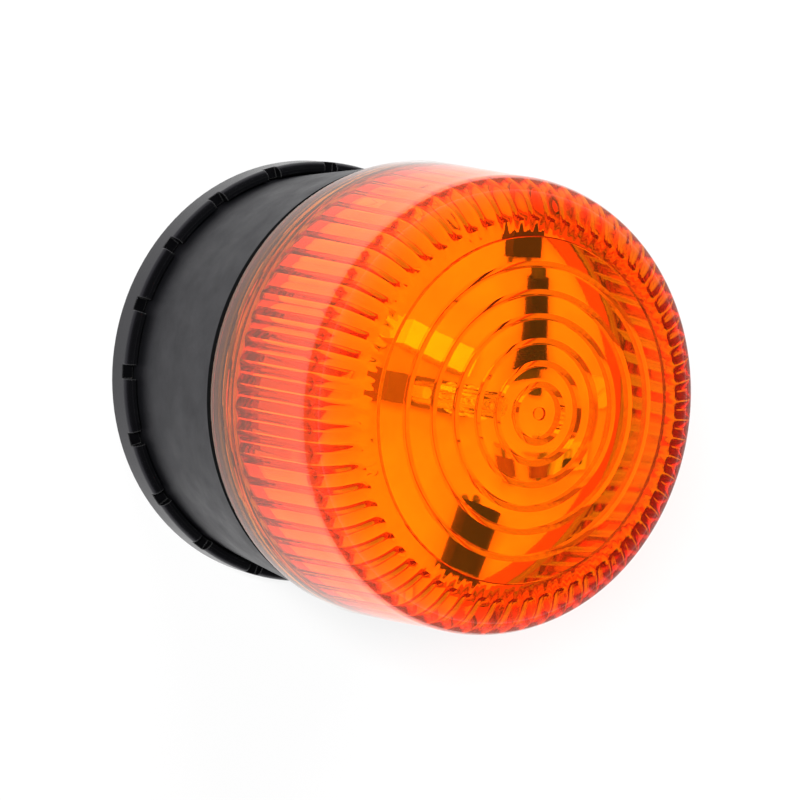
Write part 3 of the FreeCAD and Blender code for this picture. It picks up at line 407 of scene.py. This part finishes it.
def build_choke_wire():
    """Lacquered wire wound turn beside turn on the choke's rod."""
    low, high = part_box("choke_winding")
    middle = (low + high) / 2
    outer = (high.z - low.z) / 2
    length = ((high.y - low.y) - 2 * outer * abs(math.cos(CHOKE_ANGLE))) / math.sin(CHOKE_ANGLE)
    ahead = Vector((math.cos(CHOKE_ANGLE), math.sin(CHOKE_ANGLE), 0))
    across = Vector((-math.sin(CHOKE_ANGLE), math.cos(CHOKE_ANGLE), 0))
    up = Vector((0, 0, 1))
    turns = int(length / (2 * WIRE_RADIUS)) - 1
    path = []
    for step in range(turns * WIRE_STEPS + 1):
        turn = TURN * step / WIRE_STEPS
        along = (length - 2 * WIRE_RADIUS) * (step / (turns * WIRE_STEPS) - 0.5)
        orbit = (outer - WIRE_RADIUS) * (1 - WIRE_WANDER * (1 + math.sin(WIRE_WANDER_RATE * step)))
        path.append(middle + ahead * along + (across * math.cos(turn) + up * math.sin(turn)) * orbit)
    wire = tube_along("choke_wire", path, WIRE_RADIUS * WIRE_OVERLAP, WIRE_SIDES)
    return smooth(wire, 50)


def joint_spots():
    """Where the leads of the parts behind the board come through it."""
    spots = []
    chip_low, chip_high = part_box("chip_pins")
    for y in (chip_low.y, chip_high.y):
        for place in range(4):
            spots.append((blend_value(chip_low.x, chip_high.x, (place + 0.5) / 4), y))
    coil_low, coil_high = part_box("trigger_transformer")
    for x in (coil_low.x + MM, coil_high.x - MM):
        for y in (coil_low.y + MM, coil_high.y - MM):
            spots.append((x, y))
    leg_low, leg_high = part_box("transistor")
    for place in (-1, 0, 1):
        spots.append(((leg_low.x + leg_high.x) / 2 + place * PIN_PITCH, (leg_low.y + leg_high.y) / 2))
    for name in ("lead_negative", "lead_positive"):
        lead_low, lead_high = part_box(name)
        spots.append(((lead_low.x + lead_high.x) / 2, (lead_low.y + lead_high.y) / 2))
    return spots


def build_solder_joints():
    """A small cone of solder at every joint, all in one piece."""
    points = []
    faces = []
    sides = JOINT_SIDES
    for spot_x, spot_y in joint_spots():
        first = len(points)
        for share, rise in JOINT_PROFILE:
            for side in range(sides):
                turn = TURN * side / sides
                reach = JOINT_RADIUS * share
                points.append((spot_x + reach * math.cos(turn), spot_y + reach * math.sin(turn),
                               BOARD_TOP + JOINT_RADIUS * rise))
        for row in range(len(JOINT_PROFILE) - 1):
            low = first + row * sides
            for side in range(sides):
                follow = (side + 1) % sides
                faces.append([low + side, low + follow, low + sides + follow, low + sides + side])
        top = first + (len(JOINT_PROFILE) - 1) * sides
        faces.append([top + side for side in range(sides)])
        faces.append([first + side for side in range(sides)][::-1])
    return smooth(new_mesh("solder_joints", points, faces), 40)


# ---------------------------------------------------------------------------- materials

class Shader:
    """A short way to add and join the nodes of one material or world."""

    def __init__(self, material, output="OutputMaterial"):
        self.material = material
        self.material.use_nodes = True
        self.nodes = self.material.node_tree.nodes
        self.links = self.material.node_tree.links
        self.nodes.clear()
        self.output = self.nodes.new("ShaderNode" + output)

    def add(self, kind, settings=None, **inputs):
        """A node; an input is named, or in0, in1 and so on by its place."""
        made = self.nodes.new("ShaderNode" + kind)
        for name, value in (settings or {}).items():
            setattr(made, name, value)
        for name, value in inputs.items():
            self.feed(made, name.replace("_", " "), value)
        return made

    def feed(self, node, name, value):
        """Set one input to a number or colour, or link it to a socket or a node's first output."""
        numbered = name.startswith("in") and name[2:].isdigit()
        socket = node.inputs[int(name[2:]) if numbered else name]
        if isinstance(value, bpy.types.NodeSocket):
            self.links.new(value, socket)
        elif isinstance(value, bpy.types.Node):
            self.links.new(value.outputs[0], socket)
        else:
            socket.default_value = value

    def place(self):
        return self.add("TexCoord").outputs["Object"]

    def noise(self, scale, detail=4.0, rough=0.6):
        made = self.add("TexNoise", Scale=scale, Detail=detail, Roughness=rough)
        self.feed(made, "Vector", self.place())
        return made.outputs["Fac"]

    def ramp(self, source, *stops):
        made = self.add("ValToRGB", in0=source)
        ramp = made.color_ramp
        while len(ramp.elements) < len(stops):
            ramp.elements.new(0.5)
        for element, (spot, colour) in zip(ramp.elements, stops):
            element.position = spot
            element.color = colour if len(colour) == 4 else (*colour, 1)
        return made.outputs["Color"]

    def math(self, operation, first, second):
        made = self.add("Math", {"operation": operation}, in0=first, in1=second)
        return made.outputs[0]

    def mix(self, share, first, second):
        made = self.add("Mix", {"data_type": "RGBA"})
        self.feed(made, "in0", share)
        self.feed(made, "in6", first)
        self.feed(made, "in7", second)
        return made.outputs[2]

    def bump(self, height, distance, strength, normal=None):
        made = self.add("Bump", Strength=strength, Distance=distance, Height=height)
        if normal is not None:
            self.feed(made, "Normal", normal)
        return made.outputs["Normal"]

    def surface(self, shader):
        self.links.new(shader.outputs[0], self.output.inputs["Surface"])
        return self.material


def grey(value):
    return (value, value, value, 1)


def cool_grey(value):
    return (value * 0.96, value * 0.95, value * 1.12, 1)


def lens_material():
    """Amber polycarbonate: each surface and the thickness tint the light, and a faint haze scatters it.

    Shadow and diffuse rays pass straight through, so that light reaches the inside.
    """
    s = Shader(bpy.data.materials.new("amber_polycarbonate"))
    ripple = s.bump(s.noise(90.0, 2.0), 0.00003, 0.35)
    fine = s.bump(s.noise(2600.0, 3.0), 0.000004, 0.5, ripple)
    roughness = s.ramp(s.noise(300.0, 5.0), (0.35, grey(0.015)), (0.75, grey(0.045)))
    bent = s.add("BsdfRefraction", IOR=LENS_IOR, Roughness=roughness, Normal=fine, Color=AMBER_SKIN)
    mirror = s.add("BsdfAnisotropic", Roughness=roughness, Normal=fine, Color=grey(1.0))
    glass = s.add("MixShader", in0=s.add("Fresnel", IOR=LENS_IOR, Normal=fine))
    s.feed(glass, "in1", bent)
    s.feed(glass, "in2", mirror)
    clear = s.add("BsdfTransparent", Color=AMBER_SKIN)
    path = s.add("LightPath")
    shade = s.math("MAXIMUM", path.outputs["Is Shadow Ray"], path.outputs["Is Diffuse Ray"])
    both = s.add("MixShader")
    s.feed(both, "in0", shade)
    s.feed(both, "in1", glass)
    s.feed(both, "in2", clear)
    grown = s.add("SeparateXYZ", in0=s.place()).outputs["Z"]
    level = s.add("MapRange", in0=grown, in1=LENS_REAR, in2=LENS_TOP)
    stops = [((height - LENS_REAR) / (LENS_TOP - LENS_REAR), grey(share)) for height, share in HAZE]
    wall_share = s.ramp(level, *stops)
    haze = s.add("BsdfDiffuse", Color=HAZE_COLOUR, Roughness=1.0, Normal=fine)
    cloudy = s.add("MixShader", in0=wall_share)
    s.feed(cloudy, "in1", both)
    s.feed(cloudy, "in2", haze)
    tint = s.add("VolumeAbsorption", Density=AMBER_DENSITY, Color=AMBER_DEPTH)
    s.links.new(tint.outputs[0], s.output.inputs["Volume"])
    return s.surface(cloudy)


def black_plastic(name, shade, rough, grain, gloss):
    """Fine textured black moulding; its edges are lighter, partly faint wear and partly a painted edge
    highlight.
    """
    s = Shader(bpy.data.materials.new(name))
    bevel = s.add("Bevel", {"samples": 6}, Radius=EDGE_REACH)
    normal = s.bump(s.noise(3200.0, 6.0, 0.65), grain, 0.9, bevel.outputs[0])
    low, high = (cool_grey(shade * share) for share in (0.85, 1.25))
    tone = s.ramp(s.noise(60.0, 6.0, 0.7), (0.3, low), (0.7, high))
    geometry = s.add("NewGeometry")
    dot = s.add("VectorMath", {"operation": "DOT_PRODUCT"}, in0=bevel, in1=geometry.outputs["Normal"])
    edge = s.math("SUBTRACT", 1.0, dot.outputs["Value"])
    # Lighter edges: faint wear and a painted highlight, both along the bevel's reach.
    worn_and_lit = s.math("MULTIPLY", s.math("MINIMUM", s.math("MULTIPLY", edge, 6.0), 1.0), s.noise(700.0, 4.0))
    colour = s.mix(worn_and_lit, tone, grey(WEAR_AND_HIGHLIGHT_TONE))
    roughness = s.ramp(s.noise(150.0, 5.0), (0.3, grey(rough - 0.05)), (0.7, grey(rough + 0.07)))
    surface = s.add("BsdfPrincipled", Base_Color=colour, Roughness=roughness, Normal=normal)
    surface.inputs["Specular IOR Level"].default_value = gloss
    surface.inputs["Specular Tint"].default_value = BLACK_TINT
    return s.surface(surface)


def simple_material(name, colour, rough=0.4, metal=0.0, scale=900.0, grain=0.00002, gloss=0.5):
    """A coloured material whose tone, gloss and relief vary slightly."""
    s = Shader(bpy.data.materials.new(name))
    dark = tuple(part * (1 - TONE_SPREAD) for part in colour)
    tone = s.ramp(s.noise(scale / 6, 5.0), (0.3, dark), (0.7, colour))
    roughness = s.ramp(s.noise(scale / 3, 4.0), (0.3, grey(rough * 0.85)), (0.7, grey(min(rough * 1.2, 1))))
    normal = s.bump(s.noise(scale, 4.0), grain, 0.6)
    surface = s.add("BsdfPrincipled", Base_Color=tone, Roughness=roughness, Metallic=metal, Normal=normal)
    surface.inputs["Specular IOR Level"].default_value = gloss
    return s.surface(surface)


def clear_glass():
    """Tube glass that lets light through to the electrodes."""
    s = Shader(bpy.data.materials.new("tube_glass"))
    glass = s.add("BsdfGlass", IOR=TUBE_IOR, Roughness=s.math("MULTIPLY", s.noise(400.0), 0.02))
    clear = s.add("BsdfTransparent")
    path = s.add("LightPath")
    both = s.add("MixShader")
    s.feed(both, "in0", s.math("MAXIMUM", path.outputs["Is Shadow Ray"], path.outputs["Is Diffuse Ray"]))
    s.feed(both, "in1", glass)
    s.feed(both, "in2", clear)
    return s.surface(both)


def give(thing, material):
    """One material on every slot of an object."""
    slots = thing.data.materials
    if not slots:
        slots.append(material)
    for place in range(len(slots)):
        slots[place] = material
    return thing


def paint_nodes():
    """Materials of the CAD nodes that stay on show."""
    metal = simple_material("plated_steel", (0.62, 0.62, 0.6), 0.3, 1.0)
    rubber = simple_material("seal_rubber", (0.012, 0.012, 0.013), 0.62, 0.0, 2600.0, 0.00003)
    zinc = simple_material("satin_zinc", (0.8, 0.76, 0.7), 0.5, 0.3)
    looks = {
        "mounting_base": black_plastic("base_abs", 0.0012, 0.2, 0.000012, 0.34),
        "housing": black_plastic("housing_abs", 0.0035, 0.4, 0.00003, 0.275),
        # Black rubber, darkened and dulled past the head seal as painted shade for the shadowed gap between
        # housing and lens.
        "lens_seal": simple_material("lens_rubber", (0.002, 0.002, 0.002), 0.9, 0.0, 2600.0, 0.00003, 0.04),
        "head_seal": rubber,
        "base_gasket": simple_material("foam", (0.03, 0.03, 0.03), 0.9, 0.0, 1800.0, 0.0001),
        "terminal_block": simple_material("nylon", (0.35, 0.36, 0.36), 0.5),
        "contact_springs": simple_material("tinned_brass", (0.7, 0.62, 0.42), 0.28, 1.0),
        "contact_pads": simple_material("pad_brass", (0.72, 0.6, 0.36), 0.25, 1.0),
        "lead_negative": simple_material("lead_black", (0.015, 0.015, 0.015), 0.4),
        "lead_positive": simple_material("lead_red", (0.5, 0.02, 0.015), 0.4),
        "main_board": simple_material("board_laminate", (0.86, 0.43, 0.3), 0.35),
        "edge_ring": simple_material("ring_fibre", (0.42, 0.09, 0.05), 0.5),
        "board_screws": zinc,
        "tube_electrodes": zinc,
        "trigger_wire": zinc,
        "diodes": simple_material("diode_glass", (0.2, 0.07, 0.03), 0.2),
        "tube_carrier": simple_material("carrier_phenolic", (0.2, 0.1, 0.06), 0.4, 0.0, 1500.0, 0.00002),
        "flash_tube": clear_glass(),
        "capacitor_can": simple_material("can_aluminium", (0.75, 0.75, 0.76), 0.3, 1.0),
        "capacitor_sleeve": simple_material("sleeve_black", (0.012, 0.012, 0.014), 0.22),
        # A yellow film capacitor, coloured full bright yellow to stand in for the yellow glints inside the
        # lens: partly painted highlight.
        "film_capacitor": simple_material("film_yellow", (1.0, 0.78, 0.03), 0.3),
        "choke_core": simple_material("ferrite", (0.045, 0.045, 0.05), 0.55),
        "resistors": simple_material("resistor_coat", (0.55, 0.42, 0.24), 0.4),
        "option_switch": simple_material("switch_case", (0.55, 0.55, 0.52), 0.35),
        "switch_slider_1": simple_material("slider_black", (0.02, 0.02, 0.02), 0.4),
    }
    looks["switch_slider_2"] = looks["switch_slider_1"]
    epoxy = simple_material("epoxy_black", (0.014, 0.014, 0.015), 0.5, 0.0, 2200.0, 0.00003)
    for name in ("trigger_transformer", "transistor", "control_chip", "bridge_rectifier"):
        looks[name] = epoxy
    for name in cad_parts:
        give(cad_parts[name], looks.get(name, metal))


def soften_blocks():
    """Small rounds on the moulded blocks."""
    for name in ("film_capacitor", "bridge_rectifier", "trigger_transformer", "control_chip"):
        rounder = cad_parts[name].modifiers.new("moulded_edge", "BEVEL")
        rounder.width = BLOCK_ROUND
        rounder.segments = 3
        rounder.limit_method = "ANGLE"


# ------------------------------------------------------------------------------- studio

def area_light(name, spot, size, power):
    """A soft lamp aimed at the object; reflections and rays through the lens don't see it."""
    lamp = bpy.data.lights.new(name, "AREA")
    lamp.shape = "RECTANGLE"
    lamp.size, lamp.size_y = size
    lamp.energy = power
    thing = bpy.data.objects.new(name, lamp)
    bpy.context.scene.collection.objects.link(thing)
    thing.visible_glossy = False
    thing.visible_transmission = False
    thing.location = spot
    thing.rotation_euler = (Vector(LIGHT_AIM) - Vector(spot)).to_track_quat("-Z", "Y").to_euler()


def inside_flag(s, path):
    """1 for light that has been through clear plastic, else 0."""
    return s.math("GREATER_THAN", path.outputs["Transmission Depth"], 0.5)


def build_floor():
    """Pale floor in the plane of the mounting face.

    Seen directly or through the lens it is white; a plain reflection meets only the paper.
    """
    half = FLOOR_HALF
    floor = new_mesh("floor", [(-half, -half, 0), (half, -half, 0), (half, half, 0), (-half, half, 0)],
                     [[0, 1, 2, 3]])
    floor.location.z = CAD_BOX[0][2] - FLOOR_DROP
    s = Shader(bpy.data.materials.new("floor_paint"))
    tone = s.ramp(s.noise(9.0, 3.0), (0.3, grey(FLOOR_TONES[0])), (0.7, grey(FLOOR_TONES[1])))
    diffuse = s.add("BsdfDiffuse", Color=tone, Roughness=1.0)
    path = s.add("LightPath")
    spread = s.add("VectorMath", {"operation": "LENGTH"}, in0=s.place()).outputs["Value"]
    sheet = s.math("LESS_THAN", spread, PAPER_RADIUS)
    seen = s.math("MAXIMUM", sheet, s.math("MAXIMUM", path.outputs["Is Camera Ray"], inside_flag(s, path)))
    glow = s.add("Emission", Color=grey(1.0), Strength=s.math("MULTIPLY", seen, PAPER_GLOW))
    both = s.add("AddShader")
    s.feed(both, "in0", diffuse)
    s.feed(both, "in1", glow)
    give(floor, s.surface(both))


def build_world():
    """Soft surround: pale to the camera and inside the lens, dark overhead in plain reflections."""
    world = bpy.data.worlds.new("studio")
    bpy.context.scene.world = world
    s = Shader(world, "OutputWorld")
    split = s.add("SeparateXYZ", in0=s.add("TexCoord").outputs["Generated"])
    height = split.outputs["Z"]
    outside = s.ramp(height, *[(spot, grey(value)) for spot, value in SKY_OUTSIDE])
    within = s.ramp(height, *[(spot, grey(value)) for spot, value in SKY_WITHIN])
    path = s.add("LightPath")
    lighting = s.mix(inside_flag(s, path), outside, within)
    colour = s.mix(path.outputs["Is Camera Ray"], lighting, grey(1.0))
    s.surface(s.add("Background", Color=colour, Strength=SKY_STRENGTH))


def build_lights():
    for name, spot, size, power in LAMPS:
        area_light(name, spot, size, power)


def build_camera():
    """Camera at the reference angle, placed from the middle of the lens's rear edge."""
    right = CAMERA_RIGHT.normalized()
    back = (CAMERA_BACK - right * CAMERA_BACK.dot(right)).normalized()
    up = back.cross(right)
    spot = Vector((0, 0, LENS_REAR)) + CAMERA_PLACE * LENS_RADIUS
    camera = bpy.data.cameras.new("camera")
    camera.lens = FOCAL_LENGTH
    camera.sensor_width = SENSOR_WIDTH
    thing = bpy.data.objects.new("camera", camera)
    bpy.context.scene.collection.objects.link(thing)
    pose = Matrix((right, up, back)).transposed().to_4x4()
    pose.translation = spot
    thing.matrix_world = pose
    bpy.context.scene.camera = thing


def set_look():
    scene = bpy.context.scene
    scene.view_settings.view_transform = "Standard"
    scene.cycles.max_bounces = 24
    scene.cycles.transmission_bounces = 20
    scene.cycles.glossy_bounces = 10
    scene.cycles.transparent_max_bounces = 24
    scene.cycles.caustics_reflective = True
    scene.cycles.caustics_refractive = True
    scene.cycles.sample_clamp_indirect = 8.0


paint_nodes()
soften_blocks()
lens = build_lens()
give(lens, lens_material())
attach(lens, "lens")
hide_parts("lens")
wire = build_choke_wire()
give(wire, simple_material("choke_lacquer", (0.012, 0.012, 0.013), 0.25))
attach(wire, "head")
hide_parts("choke_winding")
joints = build_solder_joints()
give(joints, simple_material("solder", (0.6, 0.6, 0.6), 0.3, 1.0))
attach(joints, "head")
build_floor()
build_world()
build_lights()
build_camera()
set_look()
